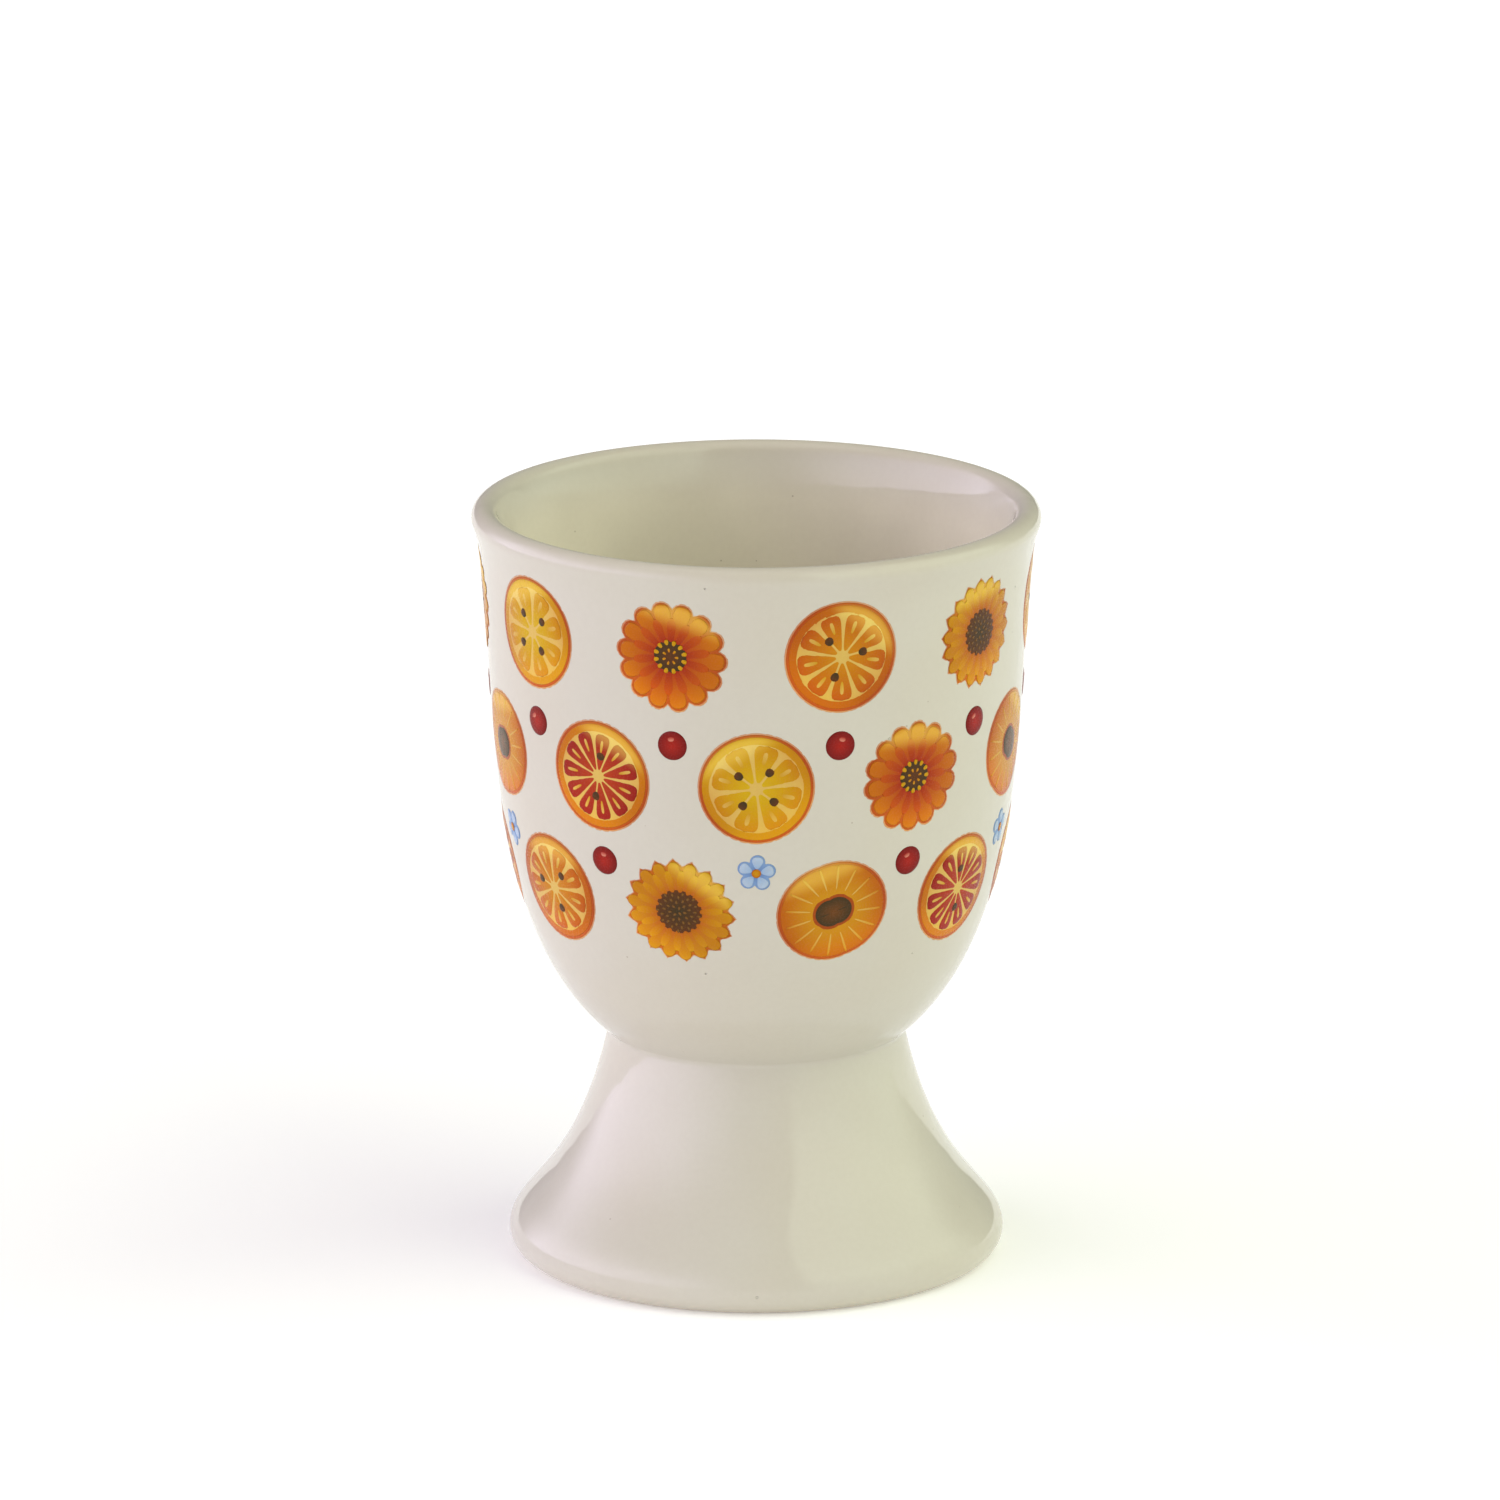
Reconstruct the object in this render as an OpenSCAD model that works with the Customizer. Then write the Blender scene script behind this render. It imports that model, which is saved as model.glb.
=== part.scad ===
// Footed egg cup: a round bowl luted to a hollow flared foot, glazed inside and out, with a band of fruit
// and flowers printed round the bowl.
// Origin: centre of the bare ring that the cup stands on, +Z up, millimetres.

/* [Cup] */
// Height from the table to the top of the lip
cup_h = 67; // [63:0.5:74]
// Diameter over the lip
lip_d = 49.3; // [44:0.1:56]
// Thickness of the bowl's wall, with the glaze on both faces
bowl_wall = 2.3; // [2:0.1:3]
// Thickness of the glaze
glaze_t = 0.25; // [0.15:0.05:0.4]

/* [Bowl] */
// How far the lip stands out past the shoulder, where the wall starts to flare, on each side
lip_overhang = 1.3; // [0.8:0.1:2.4]
// Depth of the shoulder below the top of the lip
shoulder_drop = 11.6; // [9:0.1:14]
// Lean of the wall at the shoulder, from the vertical
shoulder_lean = 3.4; // [1:0.1:6]
// Lean of the wall where it turns over into the lip
lip_lean = 17.5; // [12:0.5:25]
// Lean of the bowl where it leaves the waist
bowl_lean = 50; // [44:0.5:56]

/* [Foot] */
// Diameter at the waist, between the bowl and the foot
waist_d = 25.9; // [23:0.1:29]
// Height of the waist above the table
waist_h = 20.1; // [17:0.1:24]
// Lean of the foot's outside just under the waist
neck_lean = 12; // [6:0.5:18]
// Diameter over the foot
foot_d = 43.3; // [38:0.1:48]
// Radius of the foot's rounded outer edge
foot_edge_r = 2; // [1.4:0.1:2.4]
// Wall of the foot at the waist, with the glaze on both faces
foot_wall = 2.6; // [2.4:0.1:3.4]
// Width of the bare ring that the cup stands on
ring_w = 0.9; // [0.6:0.1:1.4]
// Radius of the ring's inner edge
ring_inner_r = 1.1; // [0.8:0.1:1.6]
// Radius of the fillet wiped into the crease at the waist
crease_r = 0.6; // [0.4:0.1:1]
// Reach of the fillet inside the foot, along the wall and along the bowl's underside
cavity_fillet_reach = 1.2; // [0.8:0.1:1.6]

/* [Print] */
// Diameter of a printed fruit or flower
motif_d = 10; // [8:0.5:11]
// Diameter of a printed berry
berry_d = 2.6; // [1.6:0.1:3]
// Diameter of a printed blossom
blossom_d = 3.4; // [2.4:0.1:3.6]
// Thickness of the printed enamel
ink_t = 0.1; // [0.06:0.01:0.2]
// Depth of the top row's centres below the top of the lip
top_row_drop = 8; // [7.5:0.1:10]
// Distance from row to row
row_pitch = 11.5; // [11:0.1:12.5]
// Fruits and flowers in a row
per_row = 10; // [6:1:10]

/* [Hidden] */
// Names of the printed rows, from the top, and of the fruits and flowers in the order that they repeat
ROWS = ["top", "middle", "low"];
KINDS = ["orange_slice", "sunflower", "lemon_slice", "gerbera", "apricot_half", "grapefruit_slice"];
// How far the order of kinds moves on from one row to the next
kind_step = 2;
// Every printed fruit and flower, as [row, place in its row]
MOTIFS = [for (row = [0 : len(ROWS) - 1], place = [0 : per_row - 1]) [row, place]];

// Facets of a full turn
$fn = 96;
// Steps along each curve of the profile
belly_steps = 40;
lip_steps = 12;
flare_steps = 26;
hollow_steps = 20;
round_steps = 10;
dome_steps = 16;

// Handles of each curve at its start and its end, as shares of the distance between its ends
flare_shares = [0.167, 0.7];
belly_shares = [0.328, 0.31];
lip_shares = [0.8, 0.218];
hollow_shares = [0.45, 0.2];
// Lean of the hollow's wall at its top and at the ring
hollow_top_lean = 14;
hollow_low_lean = 16;
// Where the glaze stops on the rounded edges of the ring, as the angle of the surface's normal
outer_glaze_line = -62;
inner_glaze_line = -118;

// Colours
biscuit_colour = [0.93, 0.90, 0.84];
slip_colour = [0.88, 0.84, 0.76];
glaze_colour = [0.95, 0.93, 0.87];
kind_colours = [
    [0.95, 0.55, 0.10],
    [0.96, 0.75, 0.12],
    [0.98, 0.85, 0.20],
    [0.90, 0.42, 0.12],
    [0.96, 0.65, 0.22],
    [0.86, 0.25, 0.16]];
berry_colour = [0.76, 0.12, 0.12];
blossom_colour = [0.55, 0.70, 0.92];

// The first printed place of the middle row faces the front, and the other rows are half a step round
front = -90;
step = 360 / per_row;
function row_turn(row) = row % 2 == 1 ? 0 : step / 2;
function row_h(row) = cup_h - top_row_drop - row * row_pitch;
function motif_kind(m) = (m[1] + kind_step * m[0]) % len(KINDS);
function motif_name(m) = str(KINDS[motif_kind(m)], "_", ROWS[m[0]], "_", m[1] + 1);
// Each fruit is turned a little differently about its own middle
spin_step = 47;
spin_span = 80;
function motif_spin(m) = (spin_step * (m[1] + per_row * m[0])) % spin_span - spin_span / 2;

// A point of the profile is [radius, height, angle of the outward normal], and each curve runs with the
// clay on its left, so that the whole profile goes up the outside, over the lip and down the inside.
function along(angle) = [cos(angle), sin(angle)];
function moved(p, d) = [p[0] + d * cos(p[2]), p[1] + d * sin(p[2])];
function offset_of(points, d) = [for (p = points) moved(p, d)];
function reversed(list) = [for (i = [len(list) - 1 : -1 : 0]) list[i]];
function rest(list) = [for (i = [1 : len(list) - 1]) list[i]];
function turned_back(points, d) = [for (p = reversed(points)) concat(moved(p, -d), [p[2] + 180])];

// Arc about c from normal angle a to normal angle b. side is 1 on an edge and -1 in a hollow.
function arc(c, r, a, b, side, steps) = [
    for (i = [0 : steps])
        let (n = a + (b - a) * i / steps)
        [c[0] + side * r * cos(n), c[1] + side * r * sin(n), n]];

// Cubic curve from p to q, whose normals there have the angles a and b
function curve(p, q, a, b, shares, steps) =
    let (
        chord = norm([q[0] - p[0], q[1] - p[1]]),
        p1 = [p[0], p[1]] + shares[0] * chord * along(a + 90),
        q1 = [q[0], q[1]] - shares[1] * chord * along(b + 90))
    [for (i = [0 : steps])
        let (
            t = i / steps,
            u = 1 - t,
            at = u * u * u * [p[0], p[1]] + 3 * u * u * t * p1 + 3 * u * t * t * q1 + t * t * t * [q[0], q[1]],
            go = u * u * (p1 - [p[0], p[1]]) + 2 * u * t * (q1 - p1) + t * t * ([q[0], q[1]] - q1))
        [at[0], at[1], near(atan2(go[1], go[0]) - 90, a)]];
// The same angle, on the turn nearest to another
function near(angle, other) = angle - 360 * round((angle - other) / 360);

// Waist: both walls run to this corner, and the crease's fillet cuts it
waist = [waist_d / 2, waist_h];
crease_reach = crease_r * tan((neck_lean + bowl_lean) / 2);
crease_low = waist - crease_reach * along(neck_lean + 90);
crease_high = waist + crease_reach * along(90 - bowl_lean);
crease = arc(crease_low + crease_r * along(neck_lean), crease_r, neck_lean, -bowl_lean, -1, round_steps);

// Foot's outside, from the table up
foot_edge_c = [foot_d / 2 - foot_edge_r, foot_edge_r];
edge_bare = arc(foot_edge_c, foot_edge_r, -90, outer_glaze_line, 1, round_steps);
edge_glazed = arc(foot_edge_c, foot_edge_r, outer_glaze_line, 0, 1, round_steps);
flare = curve([foot_d / 2, foot_edge_r], crease_low, 0, neck_lean, flare_shares, flare_steps);
foot_outside = concat(edge_glazed, rest(flare));

// Bowl's outside, from the crease up to the lip
shoulder = [lip_d / 2 - lip_overhang, cup_h - shoulder_drop];
lip_r = bowl_wall / 2;
lip_c = [lip_d / 2 - lip_r, cup_h - lip_r];
lip_start = lip_c + lip_r * along(-lip_lean);
belly = curve(crease_high, shoulder, -bowl_lean, -shoulder_lean, belly_shares, belly_steps);
lip_flare = curve(shoulder, lip_start, -shoulder_lean, -lip_lean, lip_shares, lip_steps);
bowl_outside = concat(belly, rest(lip_flare));
lip = arc(lip_c, lip_r, -lip_lean, 180 - lip_lean, 1, 2 * round_steps);
bowl_inside = turned_back(bowl_outside, bowl_wall);

// The bowl's bottom is a dome about one centre, inside and out, that the wall runs into
dome_r = crease_high[0] / cos(bowl_lean);
dome_c = [0, crease_high[1] + dome_r * sin(bowl_lean)];
dome_inside = arc(dome_c, dome_r - bowl_wall, 180 - bowl_lean, 90, -1, dome_steps);

// Foot's hollow, from its ceiling under the bowl down to the ring
corner_r = waist_d / 2 - foot_wall;
corner_far = norm([dome_r, cavity_fillet_reach]);
corner_turn = asin(corner_r / corner_far);
ceiling_turn = corner_turn - atan2(cavity_fillet_reach, dome_r);
corner = dome_c + corner_far * along(corner_turn - 90);
ceiling = arc(dome_c, dome_r, -90, ceiling_turn - 90, 1, dome_steps);
slip_seat = arc(dome_c, dome_r, ceiling_turn - 90, -bowl_lean, 1, round_steps);
wall_top = corner + cavity_fillet_reach * along(hollow_top_lean - 90);
wall_normal = hollow_top_lean - 180;
cavity_r = cavity_fillet_reach / tan((ceiling_turn - 90 - wall_normal) / 2);
cavity_corner = arc(wall_top + cavity_r * along(wall_normal), cavity_r, ceiling_turn - 90, wall_normal, -1,
    round_steps);
ring_inner_c = [foot_d / 2 - foot_edge_r - ring_w, ring_inner_r];
low_normal = hollow_low_lean - 180;
wall_low = ring_inner_c + ring_inner_r * along(low_normal);
hollow = curve(wall_top, wall_low, wall_normal, low_normal, hollow_shares, hollow_steps);
inner_edge_glazed = arc(ring_inner_c, ring_inner_r, low_normal, inner_glaze_line, 1, round_steps);
inner_edge_bare = arc(ring_inner_c, ring_inner_r, inner_glaze_line, -90, 1, round_steps);

// The printed wall: radius and normal angle by height
wall_radii = [for (p = bowl_outside) [p[1], p[0]]];
wall_normals = [for (p = bowl_outside) [p[1], p[2]]];
// A band of the wall is cut this much taller than what is printed on it, above and below
band_spare = 2 * (cup_h - waist_h) / (belly_steps + lip_steps);

// Proportions of the printed outlines, as shares of their radius
sunflower_rays = 18;
sunflower_valley_share = 0.87;
gerbera_petals = 14;
gerbera_disc_share = 0.78;
gerbera_petal_share = 0.2;
apricot_lobe_share = 0.93;
blossom_petals = 5;
blossom_disc_share = 0.5;
blossom_petal_share = 0.4;
// Every second place of the lower row of fillers holds a blossom, and the rest hold berries
FILLERS = [for (row = [0, 1], place = [0 : per_row - 1]) [row, place]];
function is_blossom(f) = f[0] == 1 && f[1] % 2 == 0;
// A filler lies at the same distance from the fruit above it and the two below
function half_gap(row) = lookup(row_h(row + 1), wall_radii) * sin(step / 2);
function filler_h(row) = row_h(row) - (pow(half_gap(row), 2) + pow(row_pitch, 2)) / (2 * row_pitch);
function place_turn(row, place) = front + row_turn(row) + place * step;

// Bowl in bare clay, open at the lip, with its domed underside
module bowl() {
    color(biscuit_colour)
        rotate_extrude()
            polygon(concat(
                offset_of(concat(bowl_outside, rest(lip), rest(bowl_inside), rest(dome_inside)), -glaze_t),
                offset_of(concat(ceiling, rest(slip_seat)), -glaze_t)));
}

// Hollow foot in bare clay, with the ring that the cup stands on
module foot() {
    color(biscuit_colour)
        rotate_extrude()
            polygon(concat(
                offset_of(edge_bare, 0),
                offset_of(foot_outside, -glaze_t),
                offset_of(concat(hollow, rest(inner_edge_glazed)), -glaze_t),
                offset_of(inner_edge_bare, 0)));
}

// Ring of slip that lutes the bowl to the foot, wiped to a fillet inside and out
module joining_slip() {
    color(slip_colour)
        rotate_extrude()
            polygon(offset_of(concat(crease, rest(reversed(slip_seat)), rest(cavity_corner)), -glaze_t));
}

// Glaze over the foot's outside, the bowl's outside, the lip and the bowl's inside, in one coat
module glaze_coat() {
    face = concat(foot_outside, rest(crease), rest(bowl_outside), rest(lip), rest(bowl_inside),
        rest(dome_inside));
    color(glaze_colour)
        rotate_extrude()
            polygon(concat(offset_of(face, 0), reversed(offset_of(face, -glaze_t))));
}

// Glaze over the foot's hollow and the bowl's underside
module cavity_glaze() {
    face = concat(ceiling, rest(cavity_corner), rest(hollow), rest(inner_edge_glazed));
    color(glaze_colour)
        rotate_extrude()
            polygon(concat(offset_of(face, 0), reversed(offset_of(face, -glaze_t))));
}

// A layer of enamel on the wall, with the outline of its child, which is d across
module printed(turn, h, d) {
    near_wall = [for (p = bowl_outside) if (abs(p[1] - h) < d / 2 + band_spare) p];
    intersection() {
        rotate_extrude()
            polygon(concat(offset_of(near_wall, ink_t), reversed(offset_of(near_wall, 0))));
        rotate([0, 0, turn])
            translate([lookup(h, wall_radii), 0, h])
                rotate([0, 90 - lookup(h, wall_normals), 0])
                    linear_extrude(height = d / 2, center = true)
                        children();
    }
}

// Outlines, flat, each about its own middle
module slice_outline() {
    circle(d = motif_d);
}

module sunflower_outline() {
    tips = 2 * sunflower_rays;
    polygon([for (i = [0 : tips - 1])
        motif_d / 2 * (i % 2 == 0 ? 1 : sunflower_valley_share) * along(360 * i / tips)]);
}

module gerbera_outline() {
    petal_r = motif_d / 2 * gerbera_petal_share;
    circle(r = motif_d / 2 * gerbera_disc_share);
    for (i = [0 : gerbera_petals - 1])
        translate((motif_d / 2 - petal_r) * along(360 * i / gerbera_petals))
            circle(r = petal_r);
}

module apricot_outline() {
    lobe_r = motif_d / 2 * apricot_lobe_share;
    for (side = [-1, 1])
        translate([0, side * (motif_d / 2 - lobe_r)])
            circle(r = lobe_r);
}

module blossom_outline() {
    petal_r = blossom_d / 2 * blossom_petal_share;
    circle(r = blossom_d / 2 * blossom_disc_share);
    for (i = [0 : blossom_petals - 1])
        translate((blossom_d / 2 - petal_r) * along(360 * i / blossom_petals))
            circle(r = petal_r);
}

// One printed fruit or flower
module motif(m) {
    kind = KINDS[motif_kind(m)];
    color(kind_colours[motif_kind(m)])
        printed(place_turn(m[0], m[1]), row_h(m[0]), motif_d)
            rotate(motif_spin(m)) {
                if (kind == "sunflower") sunflower_outline();
                else if (kind == "gerbera") gerbera_outline();
                else if (kind == "apricot_half") apricot_outline();
                else slice_outline();
            }
}

module red_berries() {
    color(berry_colour)
        for (f = FILLERS)
            if (!is_blossom(f))
                printed(place_turn(f[0], f[1]), filler_h(f[0]), berry_d)
                    circle(d = berry_d);
}

module blue_blossoms() {
    color(blossom_colour)
        for (f = FILLERS)
            if (is_blossom(f))
                printed(place_turn(f[0], f[1]), filler_h(f[0]), blossom_d)
                    rotate(motif_spin(f))
                        blossom_outline();
}

bowl();
foot();
joining_slip();
glaze_coat();
cavity_glaze();
for (m = MOTIFS)
    motif(m);
red_berries();
blue_blossoms();
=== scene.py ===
"""Looks of a footed egg cup: two coats of glaze thrown on a lathe round the packed clay, and a print of
fruit and flowers in enamel, laid on the bowl's wall."""
import math

import bpy
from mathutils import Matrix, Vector


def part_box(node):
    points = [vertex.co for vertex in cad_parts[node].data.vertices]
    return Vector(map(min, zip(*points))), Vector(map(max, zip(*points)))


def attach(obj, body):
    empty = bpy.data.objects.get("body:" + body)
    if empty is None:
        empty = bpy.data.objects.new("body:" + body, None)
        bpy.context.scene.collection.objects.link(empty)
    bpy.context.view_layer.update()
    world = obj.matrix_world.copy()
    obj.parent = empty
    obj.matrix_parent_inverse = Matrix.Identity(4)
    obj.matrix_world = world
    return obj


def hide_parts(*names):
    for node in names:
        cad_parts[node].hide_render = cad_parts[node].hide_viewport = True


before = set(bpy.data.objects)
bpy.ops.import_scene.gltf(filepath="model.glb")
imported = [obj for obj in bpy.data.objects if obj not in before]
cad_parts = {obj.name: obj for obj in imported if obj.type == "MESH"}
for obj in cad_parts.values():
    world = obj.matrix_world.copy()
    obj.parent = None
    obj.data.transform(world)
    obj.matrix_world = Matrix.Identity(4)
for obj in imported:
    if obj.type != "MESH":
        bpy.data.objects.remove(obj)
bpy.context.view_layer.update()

MM = 0.001
FULL_TURN = math.tau

# Cup, in metres. The height and the lip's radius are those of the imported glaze
PACKED_GLAZE_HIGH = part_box("glaze_coat")[1]
CUP_H = PACKED_GLAZE_HIGH.z
LIP_R = PACKED_GLAZE_HIGH.y
BOWL_WALL = 2.3 * MM
GLAZE_T = 0.25 * MM

# Bowl: lengths in metres, leans in degrees from the vertical
LIP_OVERHANG = 1.3 * MM
SHOULDER_DROP = 11.6 * MM
SHOULDER_LEAN = 3.4
LIP_LEAN = 17.5
BOWL_LEAN = 50

# Foot: the glaze lines are the angles of the normal where each coat ends
WAIST_R = 12.95 * MM
WAIST_H = 20.1 * MM
NECK_LEAN = 12
FOOT_R = 21.65 * MM
FOOT_EDGE_R = 2 * MM
FOOT_WALL = 2.6 * MM
RING_W = 0.9 * MM
RING_INNER_R = 1.1 * MM
CREASE_R = 0.6 * MM
CAVITY_FILLET_REACH = 1.2 * MM
HOLLOW_TOP_LEAN = 14
HOLLOW_LOW_LEAN = 16
OUTER_GLAZE_LINE = -62
INNER_GLAZE_LINE = -118

# Handles of each curve at its start and its end, as shares of the distance between its ends
FLARE_SHARES = (0.167, 0.7)
BELLY_SHARES = (0.328, 0.31)
LIP_SHARES = (0.8, 0.218)
HOLLOW_SHARES = (0.45, 0.2)

# Steps along each curve of the outline, and round a full turn
BELLY_STEPS = 36
LIP_STEPS = 14
FLARE_STEPS = 26
HOLLOW_STEPS = 20
ROUND_STEPS = 10
DOME_STEPS = 16
TURN_STEPS = 180
# Faces that meet at more than this many degrees make a sharp edge
SHARP_EDGE = 50

# Print: lengths in metres, turns in degrees
ROWS = ("top", "middle", "low")
FRUIT_D = 10 * MM
BERRY_D = 2.6 * MM
BLOSSOM_D = 3.4 * MM
FILM_T = 0.1 * MM
TOP_ROW_DROP = 8 * MM
ROW_PITCH = 11.5 * MM
PER_ROW = sum("_top_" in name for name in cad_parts)
STEP = 360 / PER_ROW
FRONT = -90
SPIN_STEP = 47
SPIN_SPAN = 80
# Turn from one seed of a flower head to the next
GOLDEN_TURN = 137.508
# Petals and segments are drawn to slightly different sizes from this seed
PETAL_SEED = 3
# Rays that find the wall start this far out
REACH = 40 * MM

# Points nearer than this are one: in metres on the lathe, in shares of the fruit's radius in the print
LATHE_MERGE = 1e-7
INK_MERGE = 1e-5


# Outline of the glaze. A point is (radius, height, angle of the outward normal in degrees), and each curve
# runs with the clay on its left: up the outside, over the lip and down the inside.
def along(angle):
    """The direction at an angle from the radius."""
    return Vector((math.cos(math.radians(angle)), math.sin(math.radians(angle))))


def moved(point, distance):
    """A point of the outline, moved out along its normal."""
    way = along(point[2])
    return (point[0] + distance * way.x, point[1] + distance * way.y, point[2])


def arc(centre, radius, start, end, side, steps):
    """Round stretch from one normal angle to another; side is 1 on an edge and -1 in a hollow."""
    turns = [start + (end - start) * i / steps for i in range(steps + 1)]
    return [(*(centre + side * radius * along(turn)), turn) for turn in turns]


def curve(first, last, start, end, shares, steps):
    """Cubic curve between two points, whose normals there have the angles start and end."""
    chord = (last - first).length
    handle_a = first + shares[0] * chord * along(start + 90)
    handle_b = last - shares[1] * chord * along(end + 90)
    points = []
    for i in range(steps + 1):
        t = i / steps
        u = 1 - t
        at = u**3 * first + 3 * u * u * t * handle_a + 3 * u * t * t * handle_b + t**3 * last
        go = u * u * (handle_a - first) + 2 * u * t * (handle_b - handle_a) + t * t * (last - handle_b)
        turn = math.degrees(math.atan2(go.y, go.x)) - 90
        points.append((at.x, at.y, turn - 360 * round((turn - start) / 360)))
    return points


def join_curves(*curves):
    """One outline from curves that meet end to start, without the doubled points."""
    return list(curves[0]) + [point for c in curves[1:] for point in c[1:]]


def turned_back(points, distance):
    """The other face of a wall: the same curve run backwards, that far in."""
    return [(*moved(p, -distance)[:2], p[2] + 180) for p in reversed(points)]


def crease():
    """The wiped fillet between the foot and the bowl, and the two points where it starts and ends."""
    waist = Vector((WAIST_R, WAIST_H))
    reach = CREASE_R * math.tan(math.radians((NECK_LEAN + BOWL_LEAN) / 2))
    low = waist - reach * along(NECK_LEAN + 90)
    high = waist + reach * along(90 - BOWL_LEAN)
    fillet = arc(low + CREASE_R * along(NECK_LEAN), CREASE_R, NECK_LEAN, -BOWL_LEAN, -1, ROUND_STEPS)
    return low, high, fillet


CREASE_LOW, CREASE_HIGH, CREASE = crease()
# The bowl's bottom is a dome, under it and in it
DOME_R = CREASE_HIGH.x / math.cos(math.radians(BOWL_LEAN))
DOME_C = Vector((0, CREASE_HIGH.y + DOME_R * math.sin(math.radians(BOWL_LEAN))))
# The lip is rounded over the whole wall
ROUNDED_LIP_R = BOWL_WALL / 2
ROUNDED_LIP_C = Vector((LIP_R - ROUNDED_LIP_R, CUP_H - ROUNDED_LIP_R))


def bowl_outside():
    """The bowl's outside, from the crease to where the wall turns over into the lip."""
    shoulder = Vector((LIP_R - LIP_OVERHANG, CUP_H - SHOULDER_DROP))
    lip_start = ROUNDED_LIP_C + ROUNDED_LIP_R * along(-LIP_LEAN)
    return join_curves(
        curve(CREASE_HIGH, shoulder, -BOWL_LEAN, -SHOULDER_LEAN, BELLY_SHARES, BELLY_STEPS),
        curve(shoulder, lip_start, -SHOULDER_LEAN, -LIP_LEAN, LIP_SHARES, LIP_STEPS),
    )


def coat_outline():
    """The main coat's face, from the glaze line on the foot to the middle of the bowl's bottom."""
    edge_c = Vector((FOOT_R - FOOT_EDGE_R, FOOT_EDGE_R))
    outside = bowl_outside()
    return join_curves(
        arc(edge_c, FOOT_EDGE_R, OUTER_GLAZE_LINE, 0, 1, ROUND_STEPS),
        curve(Vector((FOOT_R, FOOT_EDGE_R)), CREASE_LOW, 0, NECK_LEAN, FLARE_SHARES, FLARE_STEPS),
        CREASE,
        outside,
        arc(ROUNDED_LIP_C, ROUNDED_LIP_R, -LIP_LEAN, 180 - LIP_LEAN, 1, 2 * ROUND_STEPS),
        turned_back(outside, BOWL_WALL),
        arc(DOME_C, DOME_R - BOWL_WALL, 180 - BOWL_LEAN, 90, -1, DOME_STEPS),
    )


def hollow_outline():
    """The face of the glaze in the foot, from under the bowl's middle down to the ring."""
    corner_far = math.hypot(DOME_R, CAVITY_FILLET_REACH)
    corner_turn = math.degrees(math.asin((WAIST_R - FOOT_WALL) / corner_far))
    ceiling_end = corner_turn - math.degrees(math.atan2(CAVITY_FILLET_REACH, DOME_R)) - 90
    corner = DOME_C + corner_far * along(corner_turn - 90)
    wall_top = corner + CAVITY_FILLET_REACH * along(HOLLOW_TOP_LEAN - 90)
    top_normal = HOLLOW_TOP_LEAN - 180
    low_normal = HOLLOW_LOW_LEAN - 180
    fillet_r = CAVITY_FILLET_REACH / math.tan(math.radians((ceiling_end - top_normal) / 2))
    ring_c = Vector((FOOT_R - FOOT_EDGE_R - RING_W, RING_INNER_R))
    wall_low = ring_c + RING_INNER_R * along(low_normal)
    return join_curves(
        arc(DOME_C, DOME_R, -90, ceiling_end, 1, DOME_STEPS),
        arc(wall_top + fillet_r * along(top_normal), fillet_r, ceiling_end, top_normal, -1, ROUND_STEPS),
        curve(wall_top, wall_low, top_normal, low_normal, HOLLOW_SHARES, HOLLOW_STEPS),
        arc(ring_c, RING_INNER_R, low_normal, INNER_GLAZE_LINE, 1, ROUND_STEPS),
    )


def wall_radius(height):
    """Radius of the bowl's outside at a height."""
    points = bowl_outside()
    for low, high in zip(points, points[1:]):
        if low[1] <= height <= high[1]:
            return low[0] + (high[0] - low[0]) * (height - low[1]) / (high[1] - low[1])
    raise ValueError("no wall at that height")


# Nodes of trees, for shapes and for finishes
def put(tree, kind, *values, **settings):
    """Adds a node and feeds its inputs in order."""
    node = tree.nodes.new(kind)
    for name, value in settings.items():
        setattr(node, name, value)
    feed(tree, [s for s in node.inputs if s.enabled], values)
    return node


def feed(tree, sockets, values):
    """Gives inputs their values: a socket is linked, a plain value is set, and None is left alone."""
    for socket, value in zip(sockets, values):
        if isinstance(value, Term):
            value = value.socket
        if isinstance(value, bpy.types.NodeSocket):
            tree.links.new(value, socket)
        elif value is not None:
            socket.default_value = value


def out(node):
    """A node's first output in use."""
    return next(s for s in node.outputs if s.enabled)


class Term:
    """A number inside a tree, so that a formula reads as one."""

    def __init__(self, tree, socket):
        self.tree = tree
        self.socket = socket

    def math(self, operation, *others):
        return Term(self.tree, out(put(self.tree, "ShaderNodeMath", self, *others, operation=operation)))

    def __add__(self, other):
        return self.math("ADD", other)

    def __sub__(self, other):
        return self.math("SUBTRACT", other)

    def __mul__(self, other):
        return self.math("MULTIPLY", other)

    def __truediv__(self, other):
        return self.math("DIVIDE", other)

    def minus_from(self, whole):
        return self.math("MULTIPLY", -1).math("ADD", whole)

    def power(self, exponent):
        return self.math("POWER", exponent)

    def size(self):
        return self.math("ABSOLUTE")

    def ramp(self, low, high):
        """Smooth change from 0 to 1 between two readings."""
        node = put(self.tree, "ShaderNodeMapRange", self, low, high, interpolation_type="SMOOTHSTEP")
        return Term(self.tree, out(node))


def mix_colours(tree, share, first, second, blend="MIX"):
    """The first colour with that share of the second one."""
    node = tree.nodes.new("ShaderNodeMix")
    node.data_type = "RGBA"
    node.blend_type = blend
    feed(tree, [s for s in node.inputs if s.enabled], (share, first, second))
    return out(node)


def split(tree, vector):
    """The three numbers of a vector."""
    node = put(tree, "ShaderNodeSeparateXYZ", vector)
    return [Term(tree, s) for s in node.outputs]


def vector_of(tree, x, y, z):
    return out(put(tree, "ShaderNodeCombineXYZ", x, y, z))


def vectors(tree, operation, *values):
    """A sum or product of vectors."""
    return out(put(tree, "ShaderNodeVectorMath", *values, operation=operation))


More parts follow.
